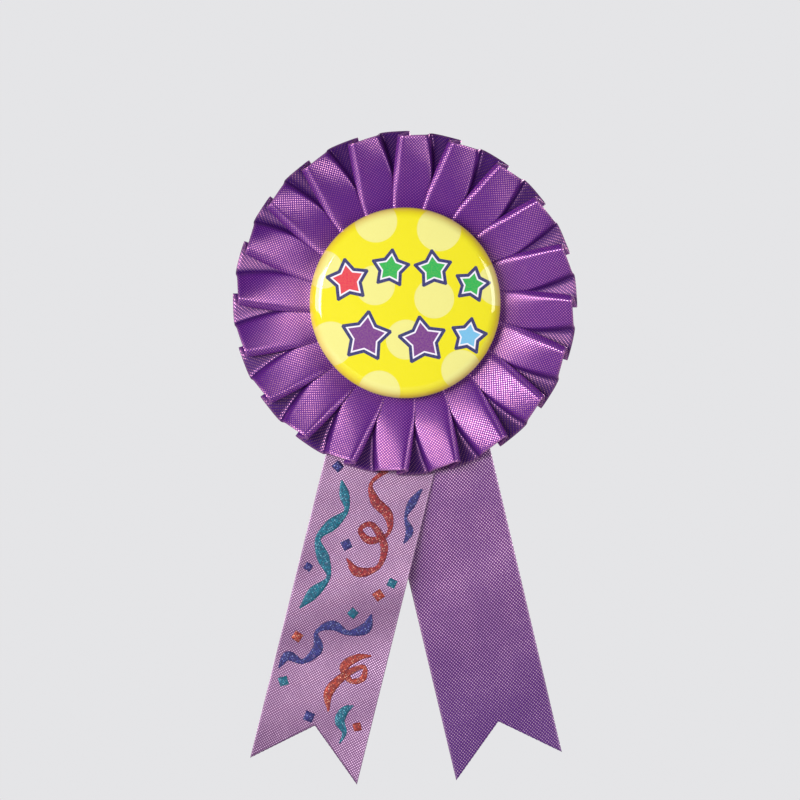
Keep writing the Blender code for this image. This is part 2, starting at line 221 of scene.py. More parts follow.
def closed_object(name, points, uv):
    """A closed skin from rings of points. Points that meet are welded and the normals face out."""
    item = new_object(name, sheet_mesh(name, points, uv, uv, True))
    work = bmesh.new()
    work.from_mesh(item.data)
    bmesh.ops.remove_doubles(work, verts=work.verts, dist=WELD * MM)
    bmesh.ops.recalc_face_normals(work, faces=work.faces)
    work.to_mesh(item.data)
    work.free()
    item.data.shade_smooth()
    return item


# ---------------------------------------------------------------- materials

class Look:
    """Short calls that build one material's nodes."""

    def __init__(self, name):
        self.material = bpy.data.materials.new(name)
        self.material.use_nodes = True
        self.tree = self.material.node_tree
        self.shader = self.tree.nodes["Principled BSDF"]

    def add(self, kind, **settings):
        node = self.tree.nodes.new(kind)
        for key, value in settings.items():
            setattr(node, key, value)
        return node

    def put(self, socket, value):
        """Links a socket into this one, or sets it to a number or colour."""
        if isinstance(value, bpy.types.NodeSocket):
            self.tree.links.new(value, socket)
        elif isinstance(value, tuple) and len(value) == 3 and socket.type == "RGBA":
            socket.default_value = (*value, 1.0)
        else:
            socket.default_value = value

    def set(self, **values):
        """Puts values on the shader's sockets, named with _ for a space."""
        for key, value in values.items():
            self.put(self.shader.inputs[key.replace("_", " ")], value)

    def math(self, operation, a, b=0.0, c=0.0):
        node = self.add("ShaderNodeMath", operation=operation)
        for socket, value in zip(node.inputs, (a, b, c)):
            self.put(socket, value)
        return node.outputs[0]

    def ramp(self, value, low, high, to_low=0.0, to_high=1.0):
        """A smooth step: to_low where value is at or below low, to_high from high on."""
        node = self.add("ShaderNodeMapRange", interpolation_type="SMOOTHSTEP", clamp=True)
        for socket, number in zip(node.inputs, (value, low, high, to_low, to_high)):
            self.put(socket, number)
        return node.outputs[0]

    def mix(self, share, a, b):
        """Colour a at share 0 and b at share 1."""
        node = self.add("ShaderNodeMix", data_type="RGBA")
        self.put(node.inputs[0], share)
        self.put(node.inputs[6], a)
        self.put(node.inputs[7], b)
        return node.outputs[2]

    def between(self, share, a, b):
        """Number a at share 0 and b at share 1."""
        node = self.add("ShaderNodeMix", data_type="FLOAT")
        self.put(node.inputs[0], share)
        self.put(node.inputs[2], a)
        self.put(node.inputs[3], b)
        return node.outputs[0]

    def uv(self):
        """The cloth's or print's own flat coordinates, in mm."""
        return self.add("ShaderNodeUVMap", uv_map="weave").outputs[0]

    def place(self):
        """The piece's own coordinates, in mm."""
        node = self.add("ShaderNodeTexCoord")
        return self.scaled(node.outputs["Object"], (1000.0, 1000.0, 1000.0))

    def scaled(self, vector, factors):
        node = self.add("ShaderNodeVectorMath", operation="MULTIPLY")
        self.put(node.inputs[0], vector)
        node.inputs[1].default_value = factors
        return node.outputs[0]

    def offset(self, vector, centre):
        node = self.add("ShaderNodeVectorMath", operation="SUBTRACT")
        self.put(node.inputs[0], vector)
        node.inputs[1].default_value = (*centre, 0.0)
        return node.outputs[0]

    def length(self, vector):
        node = self.add("ShaderNodeVectorMath", operation="LENGTH")
        self.put(node.inputs[0], vector)
        return node.outputs["Value"]

    def split(self, vector):
        node = self.add("ShaderNodeSeparateXYZ")
        self.put(node.inputs[0], vector)
        return node.outputs

    def along(self, vector, direction):
        node = self.add("ShaderNodeVectorMath", operation="DOT_PRODUCT")
        self.put(node.inputs[0], vector)
        node.inputs[1].default_value = direction
        return node.outputs["Value"]

    def noise(self, vector, scale, detail=3.0, roughness=0.55):
        node = self.add("ShaderNodeTexNoise")
        self.put(node.inputs["Vector"], vector)
        node.inputs["Scale"].default_value = scale
        node.inputs["Detail"].default_value = detail
        node.inputs["Roughness"].default_value = roughness
        return node.outputs[0]

    def cells(self, vector, scale):
        node = self.add("ShaderNodeTexVoronoi")
        self.put(node.inputs["Vector"], vector)
        node.inputs["Scale"].default_value = scale
        return node

    def bump(self, height, depth, strength, normal="Normal"):
        """Relief on the shader's own normal or its coat's. depth is the height's scale in mm."""
        node = self.add("ShaderNodeBump")
        self.put(node.inputs["Height"], height)
        node.inputs["Distance"].default_value = depth * MM
        node.inputs["Strength"].default_value = strength
        self.put(self.shader.inputs[normal], node.outputs[0])


def weave_dots(look, uv, weave):
    """The satin's lattice of thread floats: 1 on a float, 0 between."""
    waves = []
    for across, along in weave:
        turn = look.along(uv, (math.tau * along, math.tau * across, 0.0))
        waves.append(look.math("COSINE", turn))
    both = look.math("ADD", waves[0], waves[1])
    return look.math("MULTIPLY_ADD", both, 0.25, 0.5)


def satin(name, weave, ground, float_colour, mottle_and_painted_shade, metal, tail_painted_shade=0.0, gap=0.0):
    """Polyester satin ribbon: shiny thread floats over a darker ground, with woven edges.
    Painted shade: a tail's colour deepens towards its free end, by the share given for it, and the pleats'
    colour deepens down in the front of the folds by the share gap, where the folds lie in shade."""
    look = Look(name)
    uv = look.uv()
    lattice = weave_dots(look, uv, weave)
    dots = look.ramp(lattice, 0.45, 0.92)
    threads = look.noise(look.scaled(uv, (0.5, 7.0, 1.0)), 1.0, 2.0)
    cloud = look.noise(uv, 0.16, 3.0)
    along, across, _ = look.split(uv)
    half = RIBBON_WIDTH / 2
    edge = look.ramp(look.math("ABSOLUTE", look.math("SUBTRACT", across, half)),
                     half - SELVEDGE[0], half - SELVEDGE[1])
    share = look.math("MULTIPLY", dots, look.ramp(threads, 0.2, 0.8, 0.65, 1.0))
    # painted shade: the tail's ground, and its floats by the given share, darken towards the free end
    if tail_painted_shade:
        ground = look.mix(look.ramp(along, *PAINTED_SHADE_OF_GROUND), ground, mottle_and_painted_shade)
        float_colour = look.mix(look.ramp(along, *PAINTED_SHADE_OF_FLOATS, 0.0, tail_painted_shade), float_colour, mottle_and_painted_shade)
    # painted shade: the front of each gap's floor darkens, standing in for the shade down in the folds
    if gap:
        fold = look.math("FLOORED_MODULO", along, PLEAT_STRIP)
        deep = look.math("MULTIPLY", look.ramp(fold, *GAP_PAINTED_SHADE_STARTS), look.ramp(fold, *GAP_PAINTED_SHADE_ENDS, 1.0, 0.0))
        geometry = look.add("ShaderNodeNewGeometry")
        facing = look.ramp(look.along(geometry.outputs["True Normal"], (0.0, -1.0, 0.0)), 0.0, 0.4)
        deep = look.math("MULTIPLY", look.math("MULTIPLY", deep, facing), gap)
        gap_painted_shade_colour = tuple(tint * part for tint, part in zip(GAP_PAINTED_SHADE_TINT, ground))
        ground = look.mix(deep, ground, gap_painted_shade_colour)
        float_colour = look.mix(look.math("MULTIPLY", deep, 0.5), float_colour, gap_painted_shade_colour)
    colour = look.mix(look.ramp(share, 0.25, 0.95), ground, float_colour)
    # the deeper tone also mottles the cloth at random
    colour = look.mix(look.ramp(cloud, 0.35, 0.7, 0.22, 0.0), colour, mottle_and_painted_shade)
    colour = look.mix(look.math("MULTIPLY", edge, 0.12), colour, float_colour)
    look.set(Base_Color=colour,
             Metallic=look.ramp(share, 0.0, 0.55, 0.0, metal),
             Roughness=look.between(share, 0.56, look.ramp(threads, 0.2, 0.8, 0.29, 0.35)),
             Anisotropic=0.9, Anisotropic_Rotation=0.25,
             Specular_IOR_Level=0.5, Specular_Tint=(1.0, 0.64, 0.82),
             Sheen_Weight=0.06, Sheen_Roughness=0.4, Sheen_Tint=(0.9, 0.45, 1.0))
    tangent = look.add("ShaderNodeTangent", direction_type="UV_MAP", uv_map="weave")
    look.put(look.shader.inputs["Tangent"], tangent.outputs[0])
    look.bump(look.math("ADD", lattice, look.math("MULTIPLY", threads, 0.3)), 0.009, 1.0)
    return look.material


def print_ink(name, colour, deep, painted_glint_colour):
    """Glitter ink on satin: the weave shows through it, its flakes catch the light, and paler specks on the
    floats are painted glints.
    """
    look = Look(name)
    uv = look.uv()
    lattice = weave_dots(look, uv, LILAC_WEAVE)
    flakes = look.cells(uv, 3.1)
    flake = look.ramp(look.along(flakes.outputs["Color"], (0.6, 0.4, 0.0)), 0.35, 0.72)
    painted_glint_mask = look.ramp(look.along(flakes.outputs["Color"], (0.0, 0.3, 0.7)), 0.62, 0.80)
    cover = look.noise(uv, 0.9, 3.0)
    base = look.mix(flake, deep, colour)
    base = look.mix(look.ramp(lattice, 0.30, 0.60, 0.75, 0.0), base, deep)
    # painted glints: paler specks where flake cells lie on the floats
    base = look.mix(look.math("MULTIPLY", look.ramp(lattice, 0.5, 0.85), painted_glint_mask), base, painted_glint_colour)
    base = look.mix(look.ramp(cover, 0.6, 0.85, 0.0, 0.4), base, (0.36, 0.20, 0.38))
    look.set(Base_Color=base, Metallic=look.between(flake, 0.1, 0.5),
             Roughness=look.between(flake, 0.6, 0.44), Specular_IOR_Level=0.4)
    look.bump(look.math("ADD", lattice, look.math("MULTIPLY", flake, 0.6)), 0.05, 0.8)
    return look.material


def star(look, face, centre, radius, turn):
    """Signed distance in mm to a five-pointed star with blunt tips, below 0 inside."""
    fifth = math.tau / 5
    inner = 0.58
    blunt = 0.93
    slope = math.atan2(1.0 - inner * math.cos(fifth / 2), inner * math.sin(fifth / 2))
    shift = look.offset(face, centre)
    size = look.length(shift)
    x, z, _ = look.split(shift)
    angle = look.math("SUBTRACT", look.math("ARCTAN2", x, z), math.radians(turn) + fifth / 2)
    folded = look.math("SUBTRACT", look.math("FLOORED_MODULO", angle, fifth), fifth / 2)
    folded = look.math("ABSOLUTE", folded)
    facing = look.math("COSINE", look.math("SUBTRACT", folded, slope))
    edge = look.math("SUBTRACT", look.math("MULTIPLY", size, facing), radius * math.cos(slope))
    return look.math("MAXIMUM", edge, look.math("SUBTRACT", size, radius * blunt))


def button_print():
    """Yellow printed paper with pale spots and outlined stars, under a clear glossy film."""
    look = Look("printed_paper_under_film")
    face = look.uv()
    yellow = (0.61, 0.55, 0.008)
    pale = (0.61, 0.585, 0.19)
    navy = (0.014, 0.018, 0.125)
    line = (0.66, 0.63, 0.72)
    fills = {"red": (0.54, 0.032, 0.066), "green": (0.012, 0.32, 0.068),
             "purple": (0.13, 0.028, 0.19), "blue": (0.13, 0.38, 0.60)}
    # x, z and radius of each pale spot
    spots = 0.0
    for x, z, radius in ((-6.6, 18.4, 4.8), (7.7, 16.6, 5.0), (-18.4, 7.5, 4.3), (-6.8, 3.9, 4.5),
                         (6.6, 0.9, 4.5), (21.1, 4.1, 4.8), (-16.8, -9.3, 5.0), (0.2, -8.4, 4.5),
                         (-5.9, -20.2, 4.8), (12.7, -15.2, 4.5)):
        spot = look.ramp(look.length(look.offset(face, (x, z))), radius - 0.12, radius + 0.12, 1.0, 0.0)
        spots = look.math("MAXIMUM", spots, spot)
    colour = look.mix(spots, yellow, pale)
    # painted shade: the yellow deepens to orange towards the rim, where the shoulder turns away
    colour = look.mix(look.ramp(look.length(face), 19.6, 22.0, 0.0, 0.55), colour, (0.64, 0.36, 0.02))
    # x, z, radius, turn and fill of each star: navy outline, pale line, then the fill
    for x, z, radius, turn, fill in ((-12.9, 5.0, 5.5, -9, "red"), (-3.3, 7.7, 4.9, 6, "green"),
                                     (6.4, 7.5, 4.9, -5, "green"), (15.2, 4.1, 4.6, 12, "green"),
                                     (-8.9, -7.7, 6.4, 7, "purple"), (4.0, -8.6, 6.1, -8, "purple"),
                                     (14.4, -7.6, 4.7, 10, "blue")):
        shape = star(look, face, (x, z), radius, turn)
        colour = look.mix(look.ramp(shape, -0.06, 0.06, 1.0, 0.0), colour, navy)
        colour = look.mix(look.ramp(shape, -0.80, -0.68, 1.0, 0.0), colour, line)
        colour = look.mix(look.ramp(shape, -1.14, -1.02, 1.0, 0.0), colour, fills[fill])
    grain = look.noise(face, 2.4, 4.0)
    colour = look.mix(look.ramp(grain, 0.3, 0.75, 0.0, 0.10), colour, (0.58, 0.47, 0.07))
    haze = look.noise(face, 0.12, 2.0)
    look.set(Base_Color=colour, Roughness=look.ramp(haze, 0.3, 0.7, 0.55, 0.68),
             Specular_IOR_Level=0.15, Coat_Weight=1.0, Coat_Roughness=0.035, Coat_IOR=1.5)
    look.bump(grain, 0.006, 0.4)
    look.bump(look.noise(face, 0.35, 2.0), 0.02, 0.35, "Coat Normal")
    return look.material


def metal(name, colour, stain, roughness):
    """Stamped sheet or wire: fine rolling lines, small pits and a little tarnish."""
    look = Look(name)
    place = look.place()
    lines = look.noise(look.scaled(place, (0.6, 9.0, 9.0)), 1.4, 3.0)
    cloud = look.noise(place, 0.35, 4.0)
    pit = look.ramp(look.cells(place, 2.6).outputs["Distance"], 0.02, 0.12, 1.0, 0.0)
    tarnish = look.ramp(cloud, 0.52, 0.78, 0.0, 0.6)
    base = look.mix(tarnish, colour, stain)
    base = look.mix(look.math("MULTIPLY", pit, 0.4), base, stain)
    look.set(Base_Color=base, Metallic=1.0,
             Roughness=look.math("ADD", look.ramp(lines, 0.3, 0.7, roughness - 0.07, roughness + 0.08),
                                 look.math("MULTIPLY", tarnish, 0.2)))
    look.bump(look.math("SUBTRACT", look.math("MULTIPLY", lines, 0.5), pit), 0.02, 0.5)
    return look.material


def card_board():
    """Grey-white card with pressed fibres and darker specks."""
    look = Look("pressed_card")
    place = look.place()
    fibres = look.noise(look.scaled(place, (1.0, 1.0, 3.5)), 1.6, 5.0, 0.65)
    cloud = look.noise(place, 0.25, 3.0)
    specks = look.ramp(look.cells(place, 1.1).outputs["Distance"], 0.04, 0.12, 1.0, 0.0)
    base = look.mix(look.ramp(fibres, 0.3, 0.7), (0.56, 0.53, 0.47), (0.74, 0.72, 0.66))
    base = look.mix(look.ramp(cloud, 0.4, 0.75, 0.0, 0.35), base, (0.50, 0.46, 0.39))
    base = look.mix(look.math("MULTIPLY", specks, 0.55), base, (0.24, 0.20, 0.16))
    look.set(Base_Color=base, Roughness=look.ramp(fibres, 0.2, 0.8, 0.75, 0.92))
    look.bump(fibres, 0.08, 0.6)
    return look.material


def hot_glue():
    """Milky hot-melt glue with flow marks and small bubbles."""
    look = Look("hot_glue")
    place = look.place()
    flow = look.noise(look.scaled(place, (0.5, 1.0, 1.0)), 0.8, 3.0)
    bubbles = look.ramp(look.cells(place, 0.9).outputs["Distance"], 0.05, 0.16, 1.0, 0.0)
    base = look.mix(look.ramp(flow, 0.3, 0.7), (0.60, 0.54, 0.40), (0.78, 0.74, 0.62))
    base = look.mix(look.math("MULTIPLY", bubbles, 0.4), base, (0.88, 0.86, 0.78))
    look.set(Base_Color=base, Roughness=look.ramp(flow, 0.2, 0.8, 0.22, 0.4),
             Subsurface_Weight=0.25, Subsurface_Scale=0.0012, Specular_IOR_Level=0.5)
    look.bump(look.math("ADD", flow, look.math("MULTIPLY", bubbles, -0.3)), 0.15, 0.6)
    return look.material


def cotton_thread():
    """Purple two-ply thread: its twist shows as slanting stripes, with a little fluff."""
    look = Look("cotton_thread")
    uv = look.uv()
    twist = look.math("SINE", look.along(uv, (9.0, 6.2, 0.0)))
    fluff = look.noise(look.place(), 6.0, 4.0)
    base = look.mix(look.ramp(twist, -0.7, 0.9), (0.07, 0.015, 0.12), (0.22, 0.07, 0.34))
    base = look.mix(look.ramp(fluff, 0.5, 0.8, 0.0, 0.4), base, (0.34, 0.16, 0.46))
    look.set(Base_Color=base, Roughness=look.ramp(fluff, 0.2, 0.8, 0.7, 0.9), Sheen_Weight=0.4)
    look.bump(look.math("ADD", twist, fluff), 0.03, 0.8)
    return look.material


def studio_floor():
    look = Look("studio_floor")
    shade = tuple(0.97 * part for part in FLOOR_COLOUR)
    look.set(Base_Color=look.mix(look.noise(look.place(), 0.01), FLOOR_COLOUR, shade), Roughness=0.7)
    return look.material


# Each satin's colours are its ground, its floats and a deeper tone, which mottles the cloth at random and
# is the colour of the tails' painted shade.
LILAC = satin("lilac_printed_satin", LILAC_WEAVE, (0.084, 0.033, 0.098), (0.62, 0.43, 0.62),
              (0.072, 0.025, 0.088), metal=0.62, tail_painted_shade=0.2)
PURPLE = satin("purple_satin_tail", TAIL_WEAVE, (0.080, 0.013, 0.125), (0.98, 0.66, 0.87),
               (0.050, 0.007, 0.115), metal=0.8, tail_painted_shade=0.35)
PLEAT_PURPLE = satin("purple_satin_pleats", PLEAT_WEAVE, (0.085, 0.011, 0.19), (0.82, 0.37, 0.53),
                     (0.065, 0.008, 0.18), metal=0.95, gap=0.9)
TINPLATE = metal("tinplate_sheet", (0.66, 0.66, 0.64), (0.42, 0.40, 0.36), 0.30)
NICKEL = metal("nickel_plate", (0.74, 0.71, 0.66), (0.46, 0.42, 0.36), 0.22)
STEEL = metal("polished_steel", (0.60, 0.60, 0.61), (0.40, 0.38, 0.36), 0.24)
CARD = card_board()
GLUE = hot_glue()
THREAD = cotton_thread()


# ---------------------------------------------------------------- pleated ring

def bspline(controls, steps):
    """A closed uniform cubic B-spline through rows x controls x 2 points."""
    t = np.arange(steps) / steps
    weights = np.stack(((1 - t) ** 3, 3 * t ** 3 - 6 * t ** 2 + 4,
                        -3 * t ** 3 + 3 * t ** 2 + 3 * t + 1, t ** 3)) / 6.0
    stacked = np.stack([np.roll(controls, 1 - k, axis=1) for k in range(4)])
    spans = np.einsum("kt,krcd->rctd", weights, stacked)
    return spans.reshape(controls.shape[0], -1, 2)


def crest_radius_at(share):
    """How far out a crest lies at this share of the ribbon's width."""
    return INNER_RADIUS + (CREST_RIM_RADIUS - INNER_RADIUS) * share


def pleat_controls(share, pleat, shape):
    """Control points (angle, height) of one pleat's section, clockwise from its crest: over the
    panel and its shoulder, along the gap's floor to the hidden fold, and back up to the next crest.
    share runs from 0 at the ribbon's inner edge to 1 at the rim."""
    own = shape[pleat]
    following = shape[(pleat + 1) % PLEATS]
    crest_radius = crest_radius_at(share)
    radius = INNER_RADIUS + RIBBON_WIDTH * share
    lift = max(0.0, (crest_radius - LIFT_START) / (CREST_RIM_RADIUS - LIFT_START)) ** LIFT_POWER
    height = GATHER_HEIGHT + (CREST_HEIGHT * own["height"] - GATHER_HEIGHT) * lift
    next_height = GATHER_HEIGHT + (CREST_HEIGHT * following["height"] - GATHER_HEIGHT) * lift
    sweep = CREASE_SWEEP * (crest_radius - BUTTON_RADIUS) / (CREST_RIM_RADIUS - BUTTON_RADIUS)
    start = FIRST_CREASE + sweep + pleat * PITCH + own["turn"]
    pitch = PITCH + following["turn"] - own["turn"]
    width = pitch * radius
    floor = RIBBON_FLOOR
    fall = height - floor
    rise = next_height - floor
    valley = math.sqrt(PANEL_WIDTH ** 2 - fall ** 2) * own["width"]
    drop = SHOULDER_HEIGHT * own["shoulder"] * lift
    overlap = GATHER_OVERLAP - RIM_OVERLAP_LOSS * lift
    fold = width + overlap
    hump = (0.25 + 0.35 * own["hump"]) * lift
    room = min(1.0, fall / FULL_ROUNDING_FALL)
    roll = max(room, 0.4)
    soft = math.sqrt(lift)
    crest = [(-0.20 - 0.15 * soft, height - (0.80 + 0.60 * soft) * roll),
             (0.22 + 0.12 * soft, height - (0.30 + 0.30 * soft) * roll),
             (0.85 + 0.40 * soft, height - 0.02 - 0.07 * soft)]
    panel = [(valley * x, floor + drop + (fall - drop) * (1.0 - x ** own["bulge"])) for x in PANEL_STATIONS]
    shoulder = [(valley + 0.42 * room, floor + 0.55 * drop), (valley + 0.60 * room, floor + 0.10 * drop)]
    gap = [(valley + 0.35 * (fold - valley), floor - 0.02 + 0.6 * hump),
           (valley + 0.65 * (fold - valley), floor - 0.02 + hump), (fold - 0.6, floor - 0.04)]
    riser = [(fold + 0.12, floor), (fold - 0.30, floor + 0.14 + 0.10 * rise),
             (width + 0.52 * overlap, floor + (0.45 - 0.08 * soft) * rise),
             (width + 0.16 * overlap + 0.05, floor + (0.82 - 0.19 * soft) * rise)]
    return [(start + x / radius, y) for x, y in crest + panel + shoulder + gap + riser]


def pleat_uvs(points):
    """The ribbon's own flat coordinates. Each pleat's length is counted from its crest, forward to
    the hidden fold and, beyond the fold, back from the next crest, so the seam lies in the fold."""
    rows, count, _ = points.shape
    block = count // PLEATS
    step_length = np.linalg.norm(np.roll(points, -1, axis=1) - points, axis=2)
    uv_start = np.zeros((rows, count, 2))
    uv_end = np.zeros((rows, count, 2))
    for pleat in range(PLEATS):
        first = pleat * block
        lengths = step_length[:, first:first + block]
        ahead = np.concatenate((np.zeros((rows, 1)), np.cumsum(lengths, axis=1)), axis=1)
        back = ahead - ahead[:, -1:] + PLEAT_STRIP
        for j in range(block):
            run = ahead if j < CONTROLS_TO_FOLD * SPLINE_STEPS else back
            uv_start[:, first + j, 0] = pleat * PLEAT_STRIP + run[:, j]
            uv_end[:, (first + j + 1) % count, 0] = pleat * PLEAT_STRIP + run[:, j + 1]
    across = np.linspace(0.0, 1.0, rows)[:, None] * RIBBON_WIDTH
    uv_start[:, :, 1] = across
    uv_end[:, :, 1] = across
    return uv_start, uv_end


def make_pleats():
    """One ribbon folded into a ring of knife pleats, each a little different from the next."""
    shape = []
    for pleat in range(PLEATS):
        around = FIRST_CREASE + pleat * PITCH
        drift = math.radians(0.8 - 1.1 * math.cos(around - math.radians(45.0)))
        shape.append({"turn": drift + math.radians(rng.uniform(-0.35, 0.35)),
                      "height": rng.uniform(0.94, 1.05), "width": rng.uniform(0.97, 1.02),
                      "hump": rng.uniform(0.0, 1.0), "bulge": rng.uniform(1.5, 1.9),
                      "shoulder": rng.uniform(0.85, 1.2)})
    shares = np.linspace(0.0, 1.0, PLEAT_ROWS)
    controls = np.array([[point for pleat in range(PLEATS) for point in pleat_controls(share, pleat, shape)]
                         for share in shares])
    # the angles run on past a full turn, so the spline is taken on angle minus an even turn
    controls[:, :, 0] -= np.arange(controls.shape[1]) * math.tau / controls.shape[1]
    curve = bspline(controls, SPLINE_STEPS)
    count = curve.shape[1]
    curve[:, :, 0] += np.arange(count) * math.tau / count
    # a raised crest is pulled in from the rim's circle
    radius = np.zeros((PLEAT_ROWS, count))
    for i, share in enumerate(shares):
        floor_radius = INNER_RADIUS + RIBBON_WIDTH * share
        top = max(curve[i, :, 1].max(), RIBBON_FLOOR + 0.1)
        raised = np.clip((curve[i, :, 1] - RIBBON_FLOOR) / (top - RIBBON_FLOOR), 0.0, 1.0)
        radius[i] = floor_radius + (crest_radius_at(share) - floor_radius) * raised
    # the free rim waves a little
    wander = np.interp(np.arange(count), np.linspace(0, count, 61),
                       np.append(rng.uniform(-1, 1, 60), 0.0))
    wander = np.convolve(np.tile(wander, 3), np.ones(15) / 15, "same")[count:2 * count]
    free = np.clip((shares - 0.55) / 0.45, 0.0, 1.0)[:, None] ** 2
    curve[:, :, 1] += RIM_WAVE * free * wander[None, :]
    points = around_axis(radius, PLEAT_LEVEL + curve[:, :, 1], curve[:, :, 0])
    item = new_object("pleats_cloth", sheet_mesh("pleats_cloth", points, *pleat_uvs(points), True))
    thicken(item, CLOTH)
    item.data.materials.append(PLEAT_PURPLE)
    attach(item, "rosette")
    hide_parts("pleated_ribbon")


# ---------------------------------------------------------------- tails

def tail_lift(tail, across, along):
    """How far the cloth stands off its flat place, in mm: the front tail to the front, the other back."""
    past = along - HINGE_DISTANCE
    free = np.clip((past - FREE_AFTER) / FREE_OVER, 0.0, 1.0)
    free = free * free * (3 - 2 * free)
    side = across / (RIBBON_WIDTH / 2)
    phase = tail["phase"]
    wave = WAVE_HEIGHT * (1 + np.sin(math.tau * (along - WAVE_START) / WAVE_LENGTH + phase))
    slant = along / RIPPLE_LENGTH + across / RIPPLE_SLANT
    ripple = RIPPLE_HEIGHT * (1 + np.sin(math.tau * slant + 2 * phase))
    curl = EDGE_CURL * np.abs(side) ** 3
    lean = SIDE_LEAN * (1 + side * math.cos(phase))
    droop = tail["droop"] * np.clip((past - DROOP_AFTER) / DROOP_OVER, 0.0, 1.2) ** 2
    return tail["side"] * free * (wave + ripple + curl + lean + droop)


def tail_point(tail, across, along, above=0.0):
    """A point on the tail, in mm, from its distance across and along, and height over the cloth."""
    across = np.asarray(across, dtype=float)
    along = np.asarray(along, dtype=float)
    level = tail["level"] + tail_lift(tail, across, along) + above
    x = tail["foot"] - along * math.sin(tail["lean"]) + across * math.cos(tail["lean"])
    z = -along * math.cos(tail["lean"]) - across * math.sin(tail["lean"])
    return np.stack((x, -level, z), axis=-1)


def make_tail(name, tail, material, nodes):
    """A fishtailed strip of cloth. Its cut end has tiny teeth and may lie a little askew."""
    half = RIBBON_WIDTH / 2
    across = np.linspace(-half, half, TAIL_COLUMNS)
    teeth = np.resize(CUT_TEETH, TAIL_COLUMNS)
    end = tail["length"] - NOTCH_DEPTH * (1 - np.abs(across) / half) - teeth
    end = end - tail["askew"] * across / half
    share = np.linspace(0.0, 1.0, TAIL_ROWS)[:, None]
    along = TAIL_TOP + (end[None, :] - TAIL_TOP) * share
    wide = np.broadcast_to(across[None, :], along.shape)
    points = tail_point(tail, wide, along)
    uv = np.stack((along, wide + half), axis=2)
    item = new_object(name, sheet_mesh(name, points, uv, uv, False))
    thicken(item, TAIL_CLOTH)
    item.data.materials.append(material)
    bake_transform(item)
    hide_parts(*nodes)
    return item


def smooth_path(points, steps):
    """A Catmull-Rom curve through (across, along, width) points, in steps from each to the next."""
    points = np.array(points, dtype=float)
    ends = np.vstack((2 * points[0] - points[1], points, 2 * points[-1] - points[-2]))
    found = []
    for i in range(len(points) - 1):
        p0, p1, p2, p3 = ends[i:i + 4]
        for t in np.linspace(0.0, 1.0, steps, endpoint=False):
            found.append(0.5 * (2 * p1 + (p2 - p0) * t + (2 * p0 - 5 * p1 + 4 * p2 - p3) * t ** 2
                                + (3 * p1 - p0 - 3 * p2 + p3) * t ** 3))
    found.append(points[-1])
    return np.array(found)


def streamer(points):
    """Quads of one printed streamer, in the tail's flat coordinates."""
    path = smooth_path(points, 9)
    step = np.gradient(path[:, :2], axis=0)
    step /= np.linalg.norm(step, axis=1)[:, None]
    normal = np.stack((-step[:, 1], step[:, 0]), axis=1)
    shares = np.linspace(-0.5, 0.5, 5)
    width = np.maximum(STREAMER_SWELL * path[:, 2], STREAMER_LEAST)
    return path[:, None, :2] + normal[:, None, :] * (shares[None, :] * width[:, None])[:, :, None]


def confetti(across, along, size, turn):
    """Quads of one small printed square."""
    side = np.linspace(-CONFETTI_HALF * size, CONFETTI_HALF * size, 4)
    a, b = np.meshgrid(side, side)
    cos, sin = math.cos(math.radians(turn)), math.sin(math.radians(turn))
    return np.stack((across + a * cos - b * sin, along + a * sin + b * cos), axis=2)


def make_print(name, tail, grids, material, above):
    """Thin ink lying above the tail's middle plane by above mm, from grids of flat (across, along)."""
    half = RIBBON_WIDTH / 2
    points = []
    faces = []
    corners = []
    for grid in grids:
        base = len(points)
        rows, columns, _ = grid.shape
        points.extend(tail_point(tail, grid[:, :, 0], grid[:, :, 1], above).reshape(-1, 3))
        flat = grid.reshape(-1, 2)
        for i in range(rows - 1):
            for j in range(columns - 1):
                a = i * columns + j
                face = (a, a + 1, a + columns + 1, a + columns)
                faces.append([base + k for k in face])
                corners.extend((flat[k][1], flat[k][0] + half) for k in face)
    item = new_object(name, uv_mesh(name, np.array(points), faces, corners))
    thicken(item, INK)
    item.data.materials.append(material)
    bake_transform(item)
    return item


